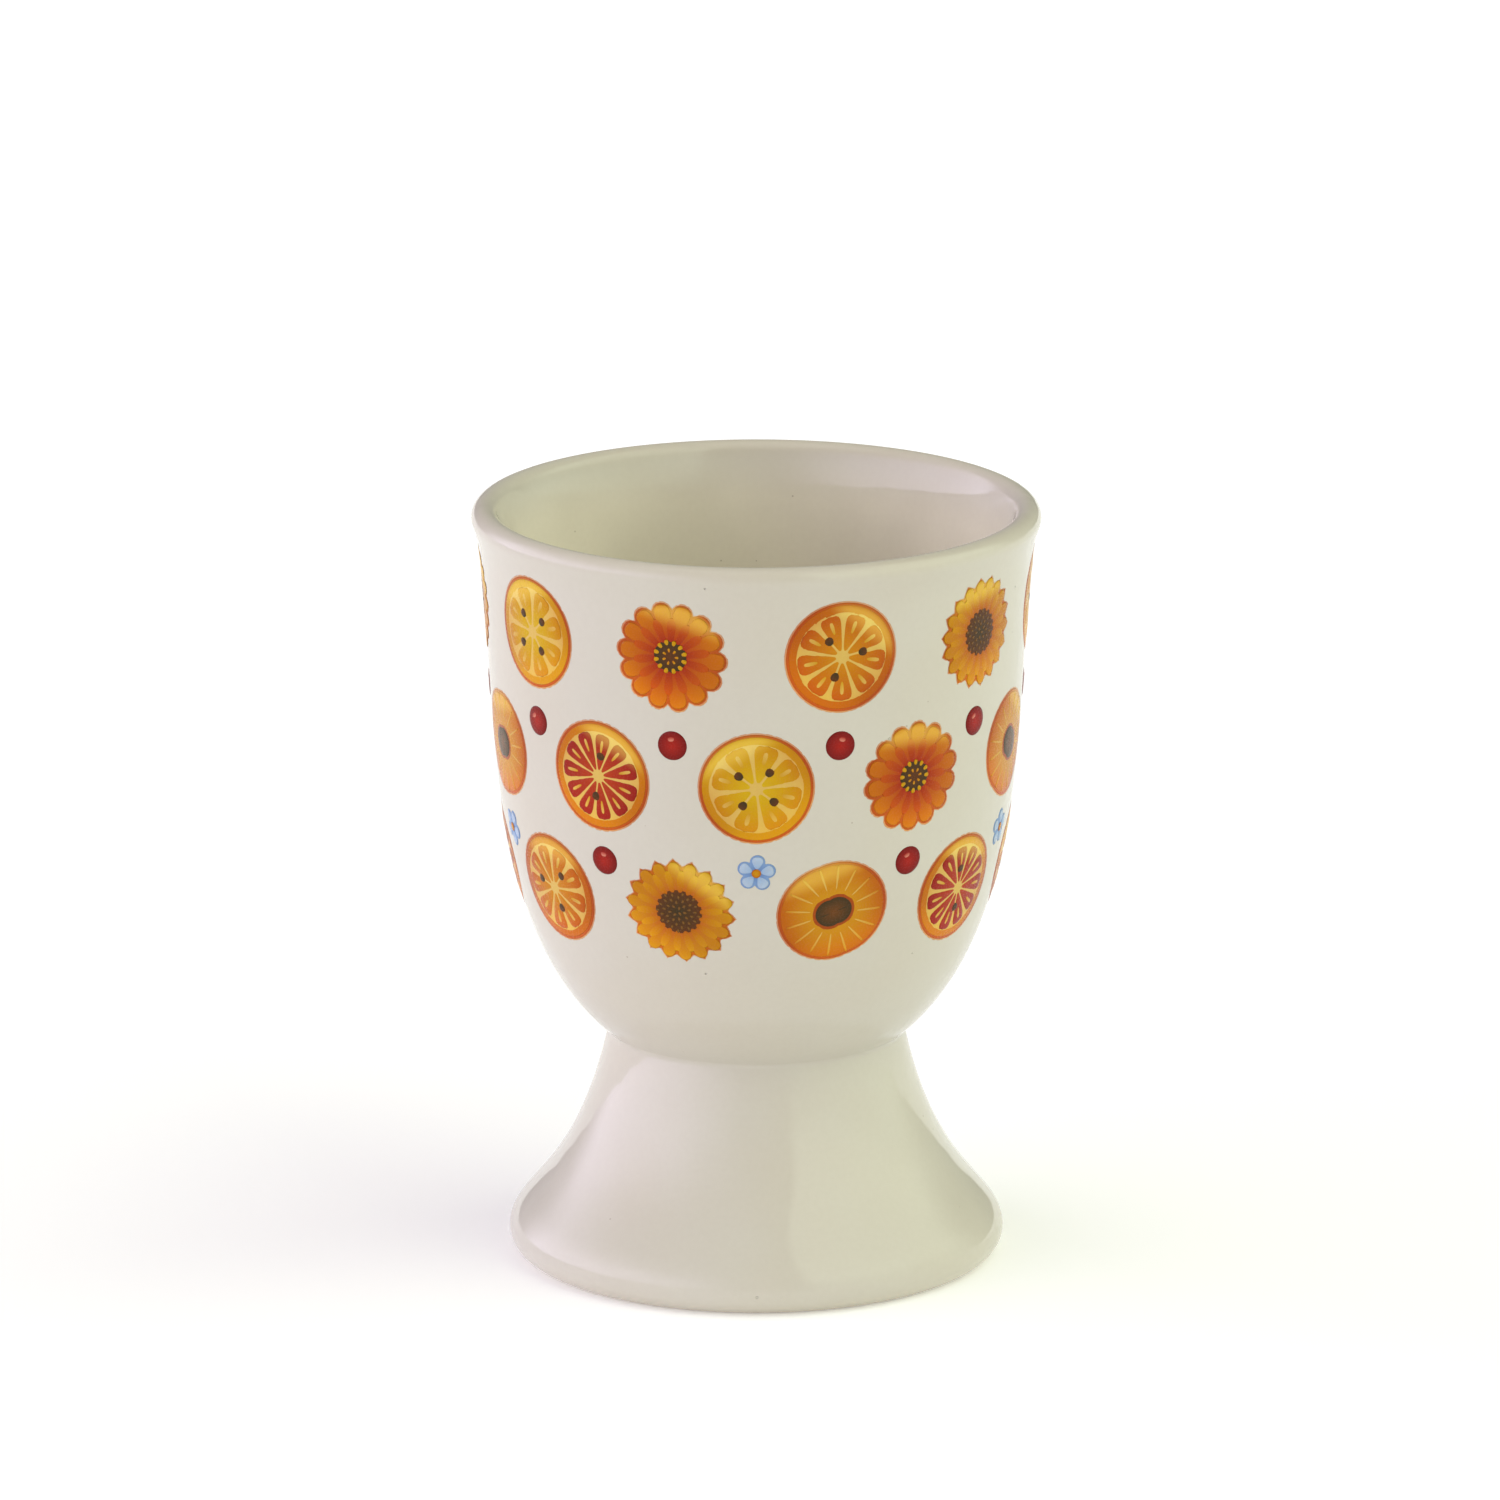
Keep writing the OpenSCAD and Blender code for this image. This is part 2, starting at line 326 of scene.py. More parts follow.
def turned(tree, vector, angle):
    """A vector turned about the cup's axis."""
    return out(put(tree, "ShaderNodeVectorRotate", vector, (0, 0, 0), angle, rotation_type="Z_AXIS"))


def srgb(red, green, blue):
    """A colour named by its screen values, from 0 to 255, as the linear colour that nodes take."""
    shares = (red / 255, green / 255, blue / 255)
    return (*(c / 12.92 if c <= 0.04045 else ((c + 0.055) / 1.055) ** 2.4 for c in shares), 1.0)


# Geometry trees
SOCKETS = {"length": "NodeSocketFloat", "count": "NodeSocketInt", "share": "NodeSocketFloat",
           "angle": "NodeSocketFloat", "colour": "NodeSocketColor", "shape": "NodeSocketGeometry",
           "object": "NodeSocketObject", "finish": "NodeSocketMaterial"}


def new_tree(name, inputs):
    """An empty geometry tree, and its inputs by name, from (name, kind) pairs."""
    tree = bpy.data.node_groups.new(name, "GeometryNodeTree")
    for label, kind in inputs:
        tree.interface.new_socket(label, in_out="INPUT", socket_type=SOCKETS[kind])
    tree.interface.new_socket("Shape", in_out="OUTPUT", socket_type="NodeSocketGeometry")
    given = tree.nodes.new("NodeGroupInput")
    return tree, {label: given.outputs[label] for label, kind in inputs}


def close_tree(tree, shape):
    """Gives a tree its result."""
    tree.links.new(shape, tree.nodes.new("NodeGroupOutput").inputs["Shape"])
    return tree


def input_label(name):
    """The label of a tree's input, from its name in a call."""
    return name.replace("_", " ").capitalize()


def group(tree, inner, **values):
    """Adds one tree inside another, with these inputs."""
    node = tree.nodes.new("GeometryNodeGroup")
    node.node_tree = inner
    for name, value in values.items():
        feed(tree, [node.inputs[input_label(name)]], [value])
    return out(node)


def finished(tree, shape, finish):
    """The last nodes of every main tree."""
    real = out(put(tree, "GeometryNodeRealizeInstances", shape))
    smooth = out(put(tree, "GeometryNodeSetShadeSmooth", real))
    return out(put(tree, "GeometryNodeSetMaterial", smooth, None, finish))


def made_by(tree, name, source, **values):
    """Runs a tree with these inputs on a source mesh, and returns the plain mesh it makes as an object."""
    holder = bpy.data.objects.new(name + "_source", source)
    bpy.context.scene.collection.objects.link(holder)
    modifier = holder.modifiers.new(name, "NODES")
    modifier.node_group = tree
    identifiers = {s.name: s.identifier for s in tree.interface.items_tree if s.in_out == "INPUT"}
    for value_name, value in values.items():
        modifier[identifiers[input_label(value_name)]] = value
    graph = bpy.context.evaluated_depsgraph_get()
    mesh = bpy.data.meshes.new_from_object(holder.evaluated_get(graph), depsgraph=graph)
    mesh.name = name
    bpy.data.objects.remove(holder)
    bpy.data.meshes.remove(source)
    piece = bpy.data.objects.new(name, mesh)
    bpy.context.scene.collection.objects.link(piece)
    return piece


def grid_shares(tree, around, across):
    """A grid with that many steps, and how far round and how far across each point lies, from 0 to 1.
    The last column counts as the first, so that the seam closes exactly."""
    mesh = out(put(tree, "GeometryNodeMeshGrid", 1.0, 1.0, around + 1, across + 1))
    x, y, _ = split(tree, out(put(tree, "GeometryNodeInputPosition")))
    column = ((x + 0.5) * around).math("ROUND").math("MODULO", around)
    return mesh, column / around, y + 0.5


def shut(tree, mesh, position, nearest):
    """The grid's points at their new places, with the seam and the poles merged."""
    moved_mesh = out(put(tree, "GeometryNodeSetPosition", mesh, None, position))
    return out(put(tree, "GeometryNodeMergeByDistance", moved_mesh, None, nearest))


# Lathe
def lathe_tree():
    """Turns an outline, given as a row of points, about the cup's axis."""
    tree, given = new_tree("lathe", (
        ("Outline", "shape"), ("Steps round", "count"), ("Steps along", "count"), ("Finish", "finish")))
    steps_along = Term(tree, given["Steps along"])
    mesh, around, across = grid_shares(tree, Term(tree, given["Steps round"]), steps_along)
    place = (across * steps_along).math("ROUND")
    here = out(put(tree, "GeometryNodeInputPosition"))
    point = out(put(tree, "GeometryNodeSampleIndex", given["Outline"], here, place,
                    data_type="FLOAT_VECTOR"))
    position = turned(tree, point, around * FULL_TURN)
    return close_tree(tree, finished(tree, shut(tree, mesh, position, LATHE_MERGE), given["Finish"]))


def on_cup(piece, node):
    """Fixes a piece to the cup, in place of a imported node."""
    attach(piece, "root")
    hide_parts(node)


def lathed(name, face, finish, node):
    """A coat of glaze: its face, its edge and its back against the clay, turned as one closed skin."""
    back = [moved(p, -GLAZE_T) for p in reversed(face)]
    starts_on_axis = face[0][0] < face[-1][0]
    path = face + back if starts_on_axis else back + face
    outline = bpy.data.meshes.new(name + "_outline")
    outline.from_pydata([(r, 0, z) for r, z, _ in path], [], [])
    piece = made_by(LATHE, name, outline, steps_round=TURN_STEPS, steps_along=len(path) - 1, finish=finish)
    piece.data.set_sharp_from_angle(angle=math.radians(SHARP_EDGE))
    on_cup(piece, node)
    return piece


# Inks: the layers of enamel in one printed fruit. Each is a thin closed patch, drawn flat about the fruit's
# middle in shares of its radius, with x down the cup and y round it. Its height is a share of the film.
INK_INPUTS = (
    ("Steps round", "count"), ("Rings", "count"), ("Outer radius", "share"), ("Bottom", "share"),
    ("Top", "share"), ("Inner colour", "colour"), ("Outer colour", "colour"))
# The higher this power, the flatter a patch is and the steeper at its edge
CUSHION_POWER = 8
# Rows of the grid past this share make the top of a patch, and the others its back
TOP_FROM = 0.5 + 1e-6


def ink_grid(tree, given):
    """The start of an ink: its grid, the turn round it, the share of the way out, and the height."""
    sides = Term(tree, given["Rings"]) * 2
    mesh, around, across = grid_shares(tree, Term(tree, given["Steps round"]), sides)
    turn = around * FULL_TURN
    evenly_out = (across * 2 - 1).size().minus_from(1)
    way_out = (evenly_out * (math.pi / 2)).math("SINE")
    on_top = across.math("GREATER_THAN", TOP_FROM)
    cushion = way_out.power(CUSHION_POWER).minus_from(1) * on_top
    bottom = Term(tree, given["Bottom"])
    height = bottom + cushion * (Term(tree, given["Top"]) - bottom)
    return mesh, turn, way_out, height


def inked(tree, given, mesh, position, share):
    """The closed patch, with its colour kept at each point."""
    colour = mix_colours(tree, share, given["Inner colour"], given["Outer colour"])
    coloured = put(tree, "GeometryNodeStoreNamedAttribute", mesh, None, "ink", colour,
                   data_type="FLOAT_COLOR", domain="POINT")
    return shut(tree, out(coloured), position, INK_MERGE)


def disc_tree():
    """A disc of ink whose edge may have lobes: the depth is that of the valleys between them."""
    tree, given = new_tree("disc of ink", INK_INPUTS + (
        ("Lobes", "count"), ("Lobe depth", "share"), ("Lobe sharpness", "share"), ("First lobe", "angle")))
    mesh, turn, way_out, height = ink_grid(tree, given)
    lobe_turn = (turn - given["First lobe"]) * given["Lobes"] / math.pi
    valley = lobe_turn.math("PINGPONG", 1).power(given["Lobe sharpness"]) * given["Lobe depth"]
    radius = way_out * given["Outer radius"] * valley.minus_from(1)
    position = vector_of(tree, radius * turn.math("COSINE"), radius * turn.math("SINE"), height)
    return close_tree(tree, inked(tree, given, mesh, position, way_out))


def ring_tree():
    """Petals or segments side by side round the middle, each a rounded patch between two radii."""
    tree, given = new_tree("ring of inks", INK_INPUTS + (
        ("Inner radius", "share"), ("Count", "count"), ("Fill", "share"), ("Roundness", "share"),
        ("First turn", "angle"), ("Variation", "share")))
    mesh, turn, way_out, height = ink_grid(tree, given)
    inner, outer = Term(tree, given["Inner radius"]), Term(tree, given["Outer radius"])
    lengthwise, sideways = [way.math("SIGN") * way.size().power(given["Roundness"]) * way_out
                            for way in (turn.math("COSINE"), turn.math("SINE"))]
    radius = (inner + outer) * 0.5 + lengthwise * (outer - inner) * 0.5
    half_angle = Term(tree, given["Fill"]) * math.pi / given["Count"]
    angle = sideways * half_angle
    position = vector_of(tree, radius * angle.math("COSINE"), radius * angle.math("SINE"), height)
    patch = inked(tree, given, mesh, position, lengthwise * 0.5 + 0.5)
    places = out(put(tree, "GeometryNodePoints", given["Count"]))
    place = Term(tree, out(put(tree, "GeometryNodeInputIndex")))
    facing = vector_of(tree, 0.0, 0.0, place * FULL_TURN / given["Count"] + given["First turn"])
    smallest = Term(tree, given["Variation"]).minus_from(1)
    scale = put(tree, "FunctionNodeRandomValue", smallest, 1.0, None, PETAL_SEED, data_type="FLOAT")
    size = vector_of(tree, out(scale), out(scale), 1.0)
    petals = put(tree, "GeometryNodeInstanceOnPoints", places, None, patch, None, None, facing, size)
    return close_tree(tree, out(put(tree, "GeometryNodeRealizeInstances", out(petals))))


def seeds_tree():
    """Seeds in the spiral that a flower head packs them in, each turned to point outwards."""
    tree, given = new_tree("seed head", (
        ("Seed", "shape"), ("Count", "count"), ("Head radius", "share"), ("Seed length", "share"),
        ("Seed width", "share"), ("Lift", "share")))
    places = out(put(tree, "GeometryNodePoints", given["Count"]))
    place = Term(tree, out(put(tree, "GeometryNodeInputIndex"))) + 0.5
    turn = place * math.radians(GOLDEN_TURN)
    radius = (place / given["Count"]).power(0.5) * given["Head radius"]
    spot = vector_of(tree, radius * turn.math("COSINE"), radius * turn.math("SINE"), given["Lift"])
    spread = out(put(tree, "GeometryNodeSetPosition", places, None, spot))
    facing = vector_of(tree, 0.0, 0.0, turn)
    size = vector_of(tree, given["Seed length"], given["Seed width"], 1.0)
    seeds = put(tree, "GeometryNodeInstanceOnPoints", spread, None, given["Seed"], None, None, facing, size)
    return close_tree(tree, out(put(tree, "GeometryNodeRealizeInstances", out(seeds))))


def lay_tree():
    """Lays a flat fruit on the cup's wall, at a height and a turn about the cup's axis."""
    tree, given = new_tree("lay on the wall", (
        ("Fruit", "shape"), ("Wall", "shape"), ("Turn", "angle"), ("Height", "length"), ("Spin", "angle"),
        ("Diameter", "length"), ("Film thickness", "length"), ("Reach", "length")))
    normal = out(put(tree, "GeometryNodeInputNormal"))

    def cast(start, way):
        """Where a ray meets the wall, and the smooth normal there."""
        ray = put(tree, "GeometryNodeRaycast", given["Wall"], normal, start, way, data_type="FLOAT_VECTOR")
        return ray.outputs["Hit Position"], ray.outputs["Attribute"]

    def scaled(vector, factor):
        node = put(tree, "ShaderNodeVectorMath", vector, operation="SCALE")
        feed(tree, [node.inputs["Scale"]], [factor])
        return out(node)

    start = vector_of(tree, given["Reach"], 0.0, given["Height"])
    middle, facing = cast(start, (-1, 0, 0))
    flat = out(put(tree, "GeometryNodeInputPosition"))
    down, right, _ = split(tree, flat)
    marked = put(tree, "GeometryNodeStoreNamedAttribute", given["Fruit"], None, "spot",
                 vector_of(tree, right, down * -1, 0.0), data_type="FLOAT_VECTOR", domain="POINT")
    x, y, z = split(tree, turned(tree, flat, given["Spin"]))
    radius = Term(tree, given["Diameter"]) / 2
    round_way = (0, 1, 0)
    up_way = vectors(tree, "CROSS_PRODUCT", facing, round_way)
    across = vectors(tree, "ADD", scaled(up_way, x * radius * -1), scaled(round_way, y * radius))
    above = vectors(tree, "ADD", vectors(tree, "ADD", middle, across), scaled(facing, given["Reach"]))
    hit, hit_normal = cast(above, scaled(facing, -1.0))
    raised = vectors(tree, "ADD", hit, scaled(hit_normal, z * given["Film thickness"]))
    laid = put(tree, "GeometryNodeSetPosition", out(marked), None, turned(tree, raised, given["Turn"]))
    return close_tree(tree, out(laid))


LATHE = lathe_tree()
DISC_OF_INK = disc_tree()
RING_OF_INKS = ring_tree()
SEED_HEAD = seeds_tree()
LAY_ON_WALL = lay_tree()

# Colours of the glaze and the clay
CREAM = srgb(199, 194, 181)
CREAM_THIN = srgb(196, 188, 171)
# Painted light: a lighter cream painted on the bowl's inner side, though the glaze there is the same
CREAM_PAINTED_LIGHT_INSIDE = srgb(229, 222, 203)
IRON = srgb(120, 96, 66)
BISCUIT = srgb(226, 218, 200)
BISCUIT_DEEP = srgb(205, 194, 172)
SLIP = srgb(232, 226, 212)

# Colours of the inks
SCORCH = srgb(232, 150, 60)
SUNLIT = srgb(236, 204, 90)
FRINGE = srgb(200, 150, 112)
RIM = srgb(174, 84, 22)
ORANGE = srgb(180, 100, 2)
GOLD = srgb(190, 141, 2)
PITH = srgb(206, 173, 88)
OLIVE = srgb(58, 48, 24)
BROWN = srgb(90, 50, 18)
RED = srgb(154, 30, 20)

# Layers that several fruits share, as the bottom and the top of an ink in shares of the film
FRINGE_LAYER = (0.0, 0.3)
RIM_LAYER = (0.15, 0.4)
UPPER_LAYER = (0.7, 1.0)
# How far out a whole fruit, its rim and its peel reach, in shares of its radius
WHOLE = 1.0
RIM_REACH = 0.972
PEEL_REACH = 0.925


def disc(tree, radius, height, colours, lobes=(1, 0, 1, 0), steps=72, rings=10):
    """A disc of ink. Lobes hold their number, the valleys' depth and sharpness, and the first turn."""
    return group(tree, DISC_OF_INK, steps_round=steps, rings=rings, outer_radius=radius,
                 bottom=height[0], top=height[1], inner_colour=colours[0], outer_colour=colours[1],
                 lobes=lobes[0], lobe_depth=lobes[1], lobe_sharpness=lobes[2],
                 first_lobe=math.radians(lobes[3]))


def ring(tree, count, reach, height, colours, fill=0.9, roundness=0.8, first=0.0, variation=0.04,
         steps=20, rings=4):
    """A ring of petals or segments, from one radius to another."""
    return group(tree, RING_OF_INKS, steps_round=steps, rings=rings, inner_radius=reach[0],
                 outer_radius=reach[1], bottom=height[0], top=height[1], inner_colour=colours[0],
                 outer_colour=colours[1], count=count, fill=fill, roundness=roundness,
                 first_turn=math.radians(first), variation=variation)


def citrus(tree, segments, peel, flesh, pips):
    """A slice across a fruit: fringe, rim, peel, pith, segments with a lighter streak, and pips."""
    return [
        disc(tree, WHOLE, FRINGE_LAYER, (FRINGE, FRINGE)),
        disc(tree, RIM_REACH, RIM_LAYER, (RIM, RIM)),
        disc(tree, PEEL_REACH, (0.25, 0.5), (peel, peel)),
        disc(tree, 0.83, (0.35, 0.6), (PITH, PITH)),
        ring(tree, segments, (0.09, 0.80), (0.4, 0.85), flesh, fill=0.88, roundness=0.5),
        ring(tree, segments, (0.42, 0.70), (0.6, 0.95), (GOLD, PITH), fill=0.2, steps=10, rings=3),
        ring(tree, pips, (0.30, 0.46), UPPER_LAYER, (OLIVE, BROWN), fill=0.07 * pips, steps=12, rings=3,
             first=180 / segments, variation=0.1),
    ]


def orange_slice(tree):
    return citrus(tree, 9, ORANGE, (srgb(193, 128, 6), srgb(178, 86, 2)), 3)


def lemon_slice(tree):
    return citrus(tree, 8, GOLD, (srgb(199, 164, 12), srgb(188, 130, 2)), 4)


def grapefruit_slice(tree):
    return citrus(tree, 11, srgb(188, 118, 4), (srgb(171, 58, 20), srgb(143, 26, 18)), 2)


def sunflower(tree):
    """Two rounds of pointed rays round a dark head full of seeds."""
    rays = 18
    points = (rays, 0.13, 1.0, 0)
    seed = disc(tree, WHOLE, (0.0, 0.1), (srgb(128, 90, 38), srgb(88, 58, 24)), steps=8, rings=2)
    return [
        disc(tree, WHOLE, FRINGE_LAYER, (RIM, FRINGE), points),
        disc(tree, 0.975, RIM_LAYER, (RIM, ORANGE), points),
        ring(tree, rays, (0.34, 0.96), (0.3, 0.65), (RIM, GOLD), fill=0.9),
        ring(tree, rays, (0.30, 0.80), (0.4, 0.75), (srgb(167, 74, 4), srgb(196, 144, 4)), fill=0.8,
             first=180 / rays),
        disc(tree, 0.43, (0.5, 0.85), (OLIVE, BROWN), steps=48),
        group(tree, SEED_HEAD, seed=seed, count=42, head_radius=0.38, seed_length=0.042, seed_width=0.026,
              lift=0.85),
    ]


def gerbera(tree):
    """Two rounds of blunt petals round a dark eye with two rounds of pale stamens."""
    petals = 14
    blunt = (petals, 0.129, 2.3, 0)
    return [
        disc(tree, WHOLE, FRINGE_LAYER, (RIM, FRINGE), blunt, steps=84),
        disc(tree, 0.97, RIM_LAYER, (RIM, RIM), blunt, steps=84),
        ring(tree, petals, (0.26, 0.945), (0.3, 0.65), (srgb(162, 46, 8), srgb(192, 118, 6)), fill=0.92,
             roundness=0.7),
        ring(tree, petals, (0.22, 0.70), (0.4, 0.8), (srgb(147, 30, 12), srgb(182, 82, 6)), fill=0.8,
             first=180 / petals),
        disc(tree, 0.29, (0.5, 0.9), (BROWN, OLIVE), steps=40),
        ring(tree, 12, (0.20, 0.31), UPPER_LAYER, (GOLD, GOLD), fill=0.6, steps=8, rings=2),
        ring(tree, 7, (0.07, 0.16), UPPER_LAYER, (ORANGE, GOLD), fill=0.5, steps=8, rings=2),
    ]


def apricot_half(tree):
    """A cut fruit with pale streaks round its stone, which lies in a hollow."""
    halves = (2, 0.073, 1.7, 90)
    return [
        disc(tree, WHOLE, FRINGE_LAYER, (FRINGE, FRINGE), halves),
        disc(tree, RIM_REACH, RIM_LAYER, (RIM, RIM), halves),
        disc(tree, PEEL_REACH, (0.25, 0.55), (srgb(200, 152, 22), srgb(182, 104, 2)), halves),
        ring(tree, 16, (0.40, 0.88), (0.4, 0.7), (PITH, srgb(194, 138, 24)), fill=0.16, steps=12, rings=3),
        disc(tree, 0.42, (0.4, 0.65), (BROWN, srgb(164, 72, 8)), (2, 0.22, 1.6, 90), steps=48),
        disc(tree, 0.34, (0.5, 0.95), (srgb(106, 64, 24), OLIVE), (2, 0.26, 1.6, 90), steps=48),
        ring(tree, 2, (0.02, 0.27), (0.8, 1.0), (OLIVE, OLIVE), fill=0.05, first=90, steps=10, rings=2),
    ]


def berry(tree):
    """A red berry with one pale streak of light."""
    return [
        disc(tree, WHOLE, (0.0, 0.8), (srgb(160, 31, 20), srgb(110, 16, 14)), steps=32, rings=5),
        ring(tree, 1, (0.30, 0.62), UPPER_LAYER, (srgb(214, 140, 118), RED), fill=0.16, first=205, steps=12,
             rings=3),
    ]


def blossom(tree):
    """A small blue blossom with a golden eye."""
    petals = 5
    return [
        disc(tree, WHOLE, (0.0, 0.5), (srgb(92, 126, 178), srgb(120, 150, 192)), (petals, 0.326, 2.1, 0),
             steps=50, rings=5),
        ring(tree, petals, (0.22, 0.90), (0.4, 0.8), (srgb(140, 168, 202), srgb(170, 188, 208)), fill=0.7),
        disc(tree, 0.24, UPPER_LAYER, (GOLD, ORANGE), steps=20, rings=3),
    ]


def fruit_tree(draw):
    """The tree of one kind of fruit or flower: its inks, laid on the wall."""
    tree, given = new_tree(draw.__name__, (
        ("Wall", "object"), ("Turn", "angle"), ("Height", "length"), ("Spin", "angle"),
        ("Diameter", "length"), ("Film thickness", "length"), ("Reach", "length"), ("Finish", "finish")))
    inks = tree.nodes.new("GeometryNodeJoinGeometry")
    for ink in draw(tree):
        tree.links.new(ink, inks.inputs[0])
    wall = put(tree, "GeometryNodeObjectInfo", given["Wall"]).outputs["Geometry"]
    laid = group(tree, LAY_ON_WALL, fruit=out(inks), wall=wall, turn=given["Turn"], height=given["Height"],
                 spin=given["Spin"], diameter=given["Diameter"], film_thickness=given["Film thickness"],
                 reach=given["Reach"])
    return close_tree(tree, finished(tree, laid, given["Finish"]))


# Finishes. Their patterns lie on each piece's own place, in metres
NOISE_SPAN = (0.3, 0.7)
SMOOTH_DETAIL = 1.0
SOFT_DETAIL = 2.0
GRAINY_DETAIL = 4.0
DOT_CORE = 0.6
# Lean of the normal off the way out, as a cosine, where the cup's inner side starts and is full, for the
# painted light inside the bowl
INNER_SIDE_SPAN = (0.5, 0)


def new_finish(name):
    """A material to fill in: itself, its tree, its shader, and the place on the piece."""
    made = bpy.data.materials.new(name)
    made.use_nodes = True
    tree = made.node_tree
    place = tree.nodes.new("ShaderNodeTexCoord").outputs["Object"]
    return made, tree, tree.nodes["Principled BSDF"], place


def dress(tree, shader, colour, normal, roughness):
    """Gives a shader its colour, its relief and how rough it is from place to place."""
    feed(tree, [shader.inputs[name] for name in ("Base Color", "Normal", "Roughness")],
         (colour, normal, roughness))


def clouds(tree, place, size, detail=SOFT_DETAIL):
    """Soft noise, from 0 to 1, whose patches are about that long."""
    noise = out(put(tree, "ShaderNodeTexNoise", place, 1 / size, detail))
    return Term(tree, noise).ramp(*NOISE_SPAN)


def dots(tree, place, spacing, radius, kept):
    """Round dots about that far apart, of which only a share is kept. They fade from a core outwards."""
    cells = put(tree, "ShaderNodeTexVoronoi", place, 1 / spacing)
    chance = split(tree, cells.outputs["Color"])[0].math("LESS_THAN", kept)
    edge = radius / spacing
    return Term(tree, cells.outputs["Distance"]).ramp(edge, DOT_CORE * edge) * chance


def relief(tree, height, depth, under=None):
    """A normal that follows a height, from 0 to 1, over that depth."""
    bump = tree.nodes.new("ShaderNodeBump")
    feed(tree, [bump.inputs[name] for name in ("Distance", "Height", "Normal")], (depth, height, under))
    return out(bump)


def level_way(tree, vector):
    """The level part of a vector, at a length of 1."""
    return vectors(tree, "NORMALIZE", vectors(tree, "MULTIPLY", vector, (1, 1, 0)))


def facing_in(tree, place):
    """1 where the surface faces the cup's axis or straight up, 0 where it faces out."""
    outwards = level_way(tree, place)
    normal = tree.nodes.new("ShaderNodeNewGeometry").outputs["Normal"]
    lean = put(tree, "ShaderNodeVectorMath", outwards, normal, operation="DOT_PRODUCT").outputs["Value"]
    return Term(tree, lean).ramp(*INNER_SIDE_SPAN)


# Glaze: sizes of its patterns, and how strong each is
CLOUD_SIZE = 14 * MM
FINE_SIZE = 0.5 * MM
WAVE_SIZE = 5 * MM
WAVE_DEPTH = 0.03 * MM
GLAZE_THINS = 1.6 * MM
# Depth below the lip at which the painted light inside the bowl is full
PAINTED_LIGHT_FULL_DEPTH = 5.5 * MM
SPECK_SPACING = 1.6 * MM
SPECK_R = 0.1 * MM
PINHOLE_SPACING = 2.2 * MM
PINHOLE_R = 0.14 * MM
THIN_AT_EDGES = 0.6
THIN_IN_CLOUDS = 0.4
IRON_HAZE = 0.02
SPECKS_KEPT = 0.12
SPECK_STRENGTH = 0.45
PINHOLES_KEPT = 0.2
GLAZE_ROUGHNESS = 0.04
GLAZE_ROUGHER = 0.03
GLAZE_INDEX = 1.42


def glaze(name, thick, thin, inside):
    """Glossy cream glaze: cloudy, thin and warmer on the lip and the foot's edge, a little wavy, with
    brown specks and pinholes, and painted lighter inside the bowl as painted light, full from a depth below
    the lip."""
    made, tree, shader, place = new_finish(name)
    height = split(tree, place)[2]
    drift = clouds(tree, place, CLOUD_SIZE)
    lip = height.ramp(CUP_H - GLAZE_THINS, CUP_H)
    edge = height.ramp(GLAZE_THINS, 0)
    deep = height.ramp(CUP_H, CUP_H - PAINTED_LIGHT_FULL_DEPTH)
    # Painted light: the bowl's inner side, below the lip, is painted in the lighter cream
    colour = mix_colours(tree, facing_in(tree, place) * deep, thick, inside)
    colour = mix_colours(tree, (lip + edge) * THIN_AT_EDGES + drift * THIN_IN_CLOUDS, colour, thin)
    colour = mix_colours(tree, clouds(tree, place, FINE_SIZE) * IRON_HAZE, colour, IRON)
    specks = dots(tree, place, SPECK_SPACING, SPECK_R, SPECKS_KEPT)
    colour = mix_colours(tree, specks * SPECK_STRENGTH, colour, IRON)
    waves = relief(tree, clouds(tree, place, WAVE_SIZE, SMOOTH_DETAIL), WAVE_DEPTH)
    pinholes = dots(tree, place, PINHOLE_SPACING, PINHOLE_R, PINHOLES_KEPT)
    normal = relief(tree, pinholes.minus_from(1), PINHOLE_R, waves)
    dress(tree, shader, colour, normal, drift * GLAZE_ROUGHER + GLAZE_ROUGHNESS)
    shader.inputs["IOR"].default_value = GLAZE_INDEX
    return made


# Clay
GROG_SIZE = 0.35 * MM
GROG_DEPTH = 0.05 * MM
BROWN_GRAIN_SPACING = 4 * GROG_SIZE
BROWN_GRAIN_R = 0.4 * GROG_SIZE
BROWN_GRAINS_KEPT = 0.3
CLAY_ROUGHNESS = 0.8
CLAY_ROUGHER = 0.12


def clay(name, tint, deep):
    """Bare fired clay: matt, chalky, with fine grog and a few brown grains."""
    made, tree, shader, place = new_finish(name)
    grog = clouds(tree, place, GROG_SIZE, GRAINY_DETAIL)
    grains = dots(tree, place, BROWN_GRAIN_SPACING, BROWN_GRAIN_R, BROWN_GRAINS_KEPT)
    colour = mix_colours(tree, grains, mix_colours(tree, grog, tint, deep), IRON)
    dress(tree, shader, colour, relief(tree, grog, GROG_DEPTH), grog * CLAY_ROUGHER + CLAY_ROUGHNESS)
    return made


# Enamel
PRINT_GRAIN = 0.16 * MM
PRINT_GRAIN_DEPTH = 0.004 * MM
PRINT_GRAIN_STRENGTH = 0.12
ENAMEL_ROUGHNESS = 0.2
ENAMEL_ROUGHER = 0.1
ENAMEL_SPECULAR = 0.15
# Tints that draw a fruit round, and where each starts and is full, in shares of the radius or its square
SIDE_STRENGTH = 0.4
SIDE_SPAN = (0.1, 0.9)
SIDE_FADES = (1.0, 0.2)
FOOT_STRENGTH = 0.35
FOOT_SPAN = (-0.2, -0.9)
SHINE_STRENGTH = 0.4
SHINE_SPAN = (0.45, 0.75)
SHINE_FADES = (0.95, 0.7)


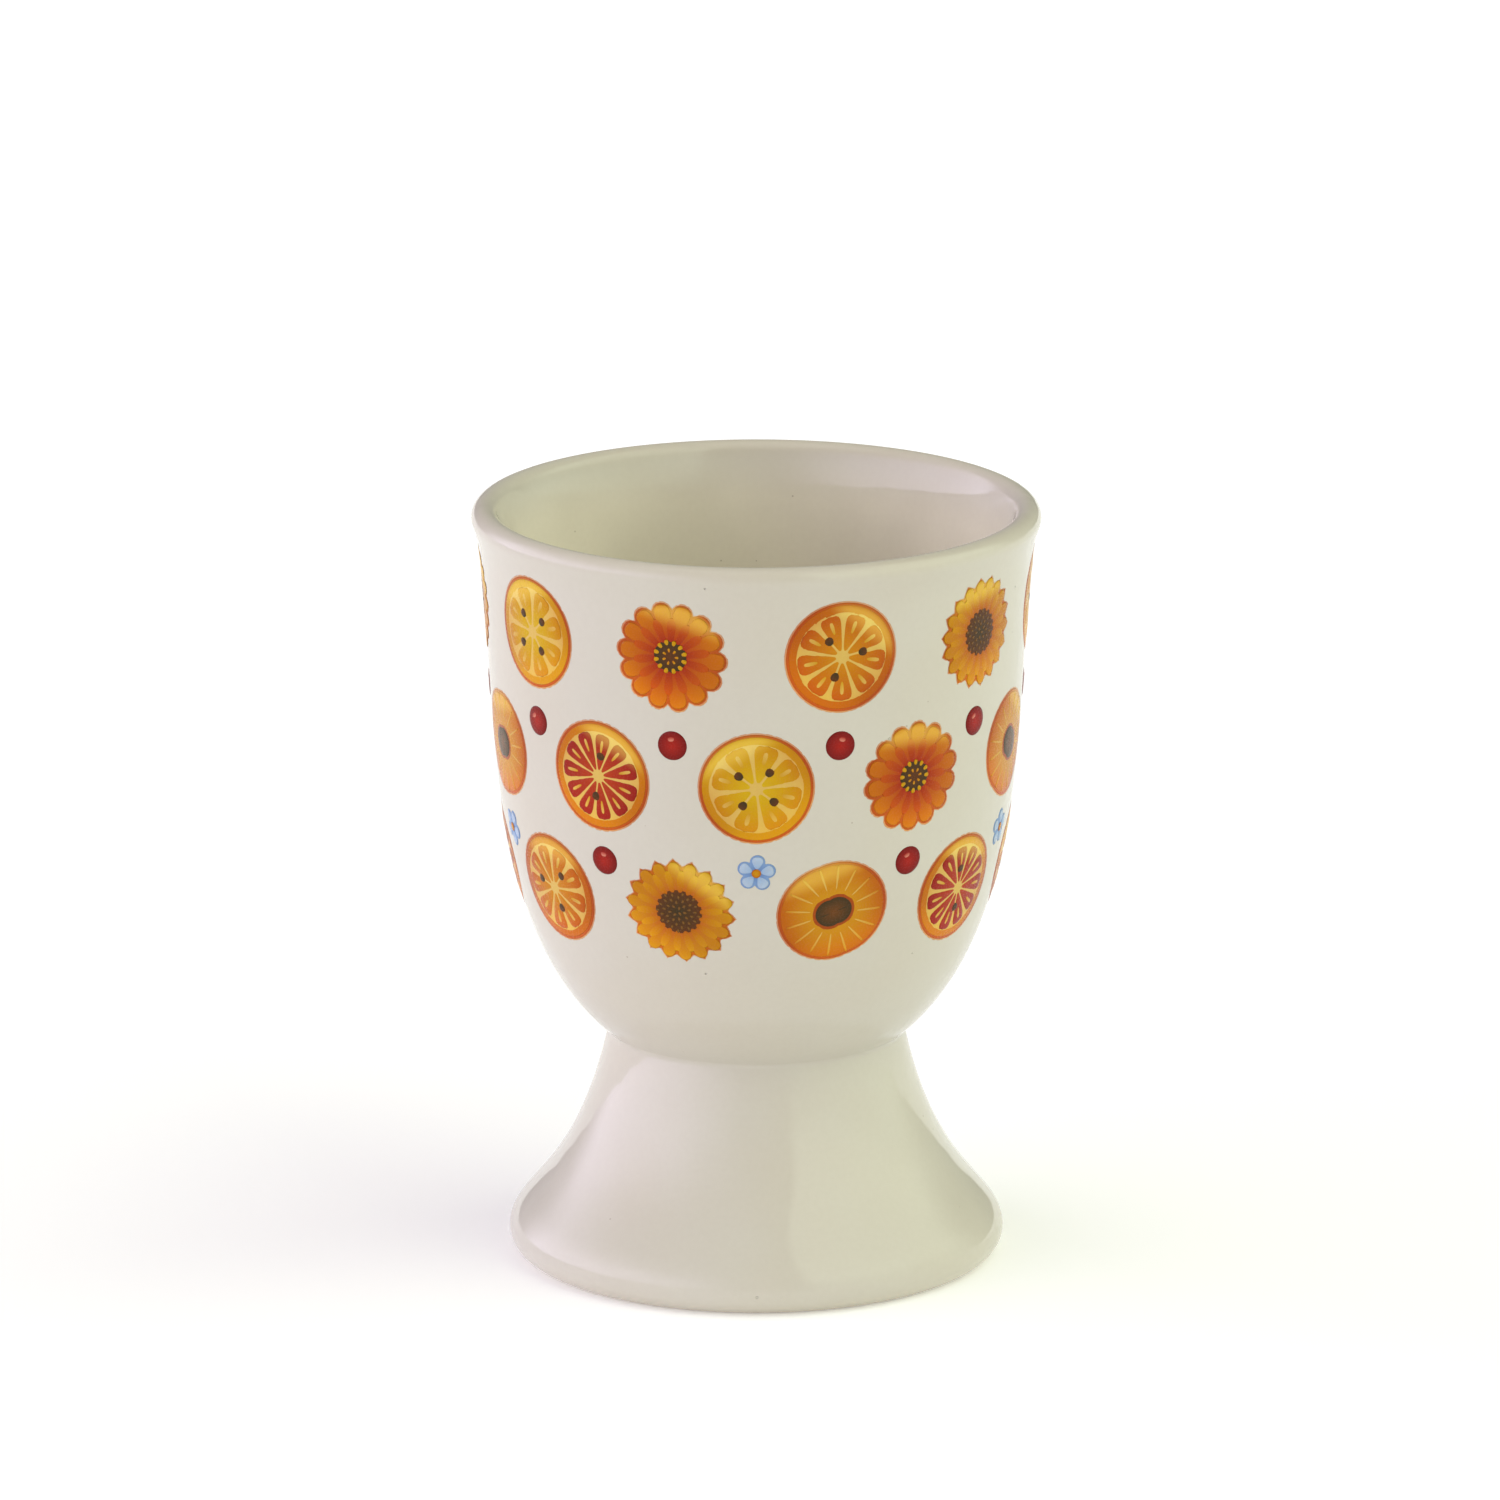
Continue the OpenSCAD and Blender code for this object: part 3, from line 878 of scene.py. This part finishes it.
def drawn_round(tree, colour):
    """Draws a flat fruit round: oranger at its sides, yellower at its foot and pale near its top."""
    spot = put(tree, "ShaderNodeAttribute", attribute_name="spot").outputs["Vector"]
    right, up, _ = split(tree, spot)
    sides = right.power(2).ramp(*SIDE_SPAN) * up.size().ramp(*SIDE_FADES)
    colour = mix_colours(tree, sides * SIDE_STRENGTH, colour, SCORCH, "MULTIPLY")
    colour = mix_colours(tree, up.ramp(*FOOT_SPAN) * FOOT_STRENGTH, colour, SUNLIT, "OVERLAY")
    shine = up.ramp(*SHINE_SPAN) * (right.power(2) + up.power(2)).ramp(*SHINE_FADES)
    return mix_colours(tree, shine * SHINE_STRENGTH, colour, SUNLIT, "SCREEN")


def enamel(name, is_fruit):
    """Fired enamel in the colours of the inks, over fine print grain. Only large fruit is drawn round."""
    made, tree, shader, place = new_finish(name)
    colour = put(tree, "ShaderNodeAttribute", attribute_name="ink").outputs["Color"]
    if is_fruit:
        colour = drawn_round(tree, colour)
    grain = clouds(tree, place, PRINT_GRAIN, SMOOTH_DETAIL)
    colour = mix_colours(tree, grain * PRINT_GRAIN_STRENGTH, colour, SCORCH, "MULTIPLY")
    normal = relief(tree, grain, PRINT_GRAIN_DEPTH)
    dress(tree, shader, colour, normal, grain * ENAMEL_ROUGHER + ENAMEL_ROUGHNESS)
    shader.inputs["Specular IOR Level"].default_value = ENAMEL_SPECULAR
    return made


def glaze_cup():
    """The two coats of glaze, and the clay under them. Returns the coat that the print lies on."""
    cream = glaze("cream_glaze", CREAM, CREAM_THIN, CREAM_PAINTED_LIGHT_INSIDE)
    lathed("glazed_hollow", hollow_outline(), cream, "cavity_glaze")
    biscuit = clay("bare_biscuit", BISCUIT, BISCUIT_DEEP)
    slip = clay("bare_slip", SLIP, BISCUIT_DEEP)
    for node, finish in (("bowl", biscuit), ("foot", biscuit), ("joining_slip", slip)):
        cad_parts[node].data.materials.clear()
        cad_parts[node].data.materials.append(finish)
    return lathed("glazed_surface", coat_outline(), cream, "glaze_coat")


# Layout of the print
KINDS = {"orange_slice": orange_slice, "sunflower": sunflower, "lemon_slice": lemon_slice,
         "gerbera": gerbera, "apricot_half": apricot_half, "grapefruit_slice": grapefruit_slice}
FILLERS = (("red_berries", berry, BERRY_D, "berry_enamel"),
           ("blue_blossoms", blossom, BLOSSOM_D, "blossom_enamel"))


def row_height(row):
    """Height of a row's centres."""
    return CUP_H - TOP_ROW_DROP - row * ROW_PITCH


def place_turn(row, place):
    """Turn about the axis: the middle row starts at the front, and the other rows half a step on."""
    return FRONT + (0 if row % 2 else STEP / 2) + place * STEP


def fruit_spin(row, place):
    """Each fruit is turned a little differently about its own middle."""
    return (SPIN_STEP * (place + PER_ROW * row)) % SPIN_SPAN - SPIN_SPAN / 2


def filler_height(row):
    """A filler lies as far from the fruit above it as from the two below."""
    half_gap = wall_radius(row_height(row + 1)) * math.sin(math.radians(STEP / 2))
    return row_height(row) - (half_gap**2 + ROW_PITCH**2) / (2 * ROW_PITCH)


def is_blossom_place(row, place):
    """Every second filler of the lower row is a blossom, and the others are berries."""
    return row == 1 and place % 2 == 0


def printed(name, tree, wall, diameter, row, place, height, finish):
    """One fruit, flower or filler on the wall. Its tree starts from an empty mesh."""
    return made_by(tree, name, bpy.data.meshes.new(name + "_start"), wall=wall,
                   turn=math.radians(place_turn(row, place)), height=height,
                   spin=math.radians(fruit_spin(row, place)), diameter=diameter, film_thickness=FILM_T,
                   reach=REACH, finish=finish)


def joined(name, parts):
    """Separate films of one node as one piece."""
    first = parts[0]
    taken_in = [part.data for part in parts[1:]]
    with bpy.context.temp_override(active_object=first, object=first,
                                   selected_objects=parts, selected_editable_objects=parts):
        bpy.ops.object.join()
    for mesh in taken_in:
        bpy.data.meshes.remove(mesh)
    first.name = name
    first.data.name = name
    return first


def print_fruit(wall):
    """Every fruit and flower of the three rows, each a piece of its own in place of its packed film."""
    for kind, draw in KINDS.items():
        tree = fruit_tree(draw)
        slot = kind.split("_")[0] + "_enamel"
        finish = enamel("fired_" + slot, True)
        for node in sorted(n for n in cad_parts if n.startswith(kind + "_")):
            row_name, number = node.split("_")[-2:]
            row = ROWS.index(row_name)
            piece = printed(node + "_print", tree, wall, FRUIT_D, row, int(number) - 1, row_height(row),
                            finish)
            on_cup(piece, node)


def print_fillers(wall):
    """Berries and blossoms between the fruit of two rows, each kind as one piece."""
    for node, draw, diameter, slot in FILLERS:
        tree = fruit_tree(draw)
        finish = enamel("fired_" + slot, False)
        places = [(row, place) for row in (0, 1) for place in range(PER_ROW)
                  if is_blossom_place(row, place) == (draw is blossom)]
        parts = [printed(f"{node}_{row}_{place}", tree, wall, diameter, row, place, filler_height(row),
                         finish) for row, place in places]
        on_cup(joined(node + "_print", parts), node)


# Camera at the photo's viewing angle: its tilt in degrees, its lens and sensor in millimetres
CAMERA_TILT = 14.87
CAMERA_DISTANCE = 1.0
CAMERA_AIM_H = 0.04487
CAMERA_LENS = 276.3
CAMERA_SENSOR = 36
CAMERA_SHIFT = -0.0042
CAMERA_NEAREST = 0.05
CAMERA_FARTHEST = 20


def camera():
    """Looks down at the cup from the front."""
    tilt = math.radians(CAMERA_TILT)
    data = bpy.data.cameras.new("camera")
    data.sensor_width = CAMERA_SENSOR
    data.lens = CAMERA_LENS
    data.shift_x = CAMERA_SHIFT
    data.clip_start = CAMERA_NEAREST
    data.clip_end = CAMERA_FARTHEST
    made = bpy.data.objects.new("camera", data)
    back = Vector((0, -math.cos(tilt), math.sin(tilt)))
    made.location = Vector((0, 0, CAMERA_AIM_H)) + CAMERA_DISTANCE * back
    made.rotation_euler = (-back).to_track_quat("-Z", "Y").to_euler()
    bpy.context.scene.collection.objects.link(made)
    bpy.context.scene.camera = made


# Floor of white paper
FLOOR_SIZE = 16
FLOOR_GLOW = 0.17
PAPER = (0.96, 0.96, 0.96, 1)
PAPER_FIBRE = (0.9, 0.9, 0.9, 1)
PAPER_FIBRE_SIZE = 40 * MM
PAPER_FIBRE_STRENGTH = 0.02


def floor():
    """Plain pale floor."""
    half = FLOOR_SIZE / 2
    corners = [(-half, -half, 0), (half, -half, 0), (half, half, 0), (-half, half, 0)]
    mesh = bpy.data.meshes.new("floor")
    mesh.from_pydata(corners, [], [range(len(corners))])
    made = bpy.data.objects.new("floor", mesh)
    bpy.context.scene.collection.objects.link(made)
    paper, tree, shader, place = new_finish("white_paper")
    fibre = clouds(tree, place, PAPER_FIBRE_SIZE) * PAPER_FIBRE_STRENGTH
    tree.links.new(mix_colours(tree, fibre, PAPER, PAPER_FIBRE), shader.inputs["Base Color"])
    shader.inputs["Roughness"].default_value = 1.0
    shader.inputs["Specular IOR Level"].default_value = 0.0
    shader.inputs["Emission Color"].default_value = (1, 1, 1, 1)
    shader.inputs["Emission Strength"].default_value = FLOOR_GLOW
    mesh.materials.append(paper)


# Light of the tent, as linear red, green and blue
TENT_FRONT = (0.42, 0.40, 0.37, 1.0)
TENT_LEFT = (3.0, 2.78, 3.4, 1.0)
TENT_RIGHT_LOW = (1.05, 1.13, 0.97, 1.0)
TENT_RIGHT_HIGH = (2.0, 2.15, 1.75, 1.0)
TENT_BACK = (0.26, 0.25, 0.24, 1.0)
TENT_TOP = (0.85, 0.85, 0.87, 1.0)
# Where each light comes in and is full, as readings of how far a direction points that way, from 0 to 1
LEFT_SPAN = (0.1, 1.05)
LEFT_LOWERS = (0.8, 0.28)
RIGHT_SPAN = (0.38, 0.5)
RIGHT_RISES = (0.15, 0.5)
BACK_SPAN = (0.4, 0.75)
BACK_LEANS_RIGHT = 0.1
TOP_SPAN = (0.85, 0.97)


def tent():
    """White tent round the cup: soft walls, pinkish on the left and greenish on the right, a dimmer front
    and a dim back."""
    world = bpy.data.worlds.new("tent")
    bpy.context.scene.world = world
    world.use_nodes = True
    tree = world.node_tree
    way = tree.nodes.new("ShaderNodeTexCoord").outputs["Generated"]
    height = split(tree, way)[2]
    right, back, _ = split(tree, level_way(tree, way))
    left_wall = (right * -1).ramp(*LEFT_SPAN) * height.ramp(*LEFT_LOWERS)
    light = mix_colours(tree, left_wall, TENT_FRONT, TENT_LEFT)
    right_light = mix_colours(tree, height.ramp(*RIGHT_RISES), TENT_RIGHT_LOW, TENT_RIGHT_HIGH)
    light = mix_colours(tree, right.ramp(*RIGHT_SPAN), light, right_light)
    light = mix_colours(tree, (back + right * BACK_LEANS_RIGHT).ramp(*BACK_SPAN), light, TENT_BACK)
    light = mix_colours(tree, height.ramp(*TOP_SPAN), light, TENT_TOP)
    tree.links.new(light, tree.nodes["Background"].inputs["Color"])
    bpy.context.scene.view_settings.view_transform = "Standard"


glazed_wall = glaze_cup()
print_fruit(glazed_wall)
print_fillers(glazed_wall)
camera()
floor()
tent()
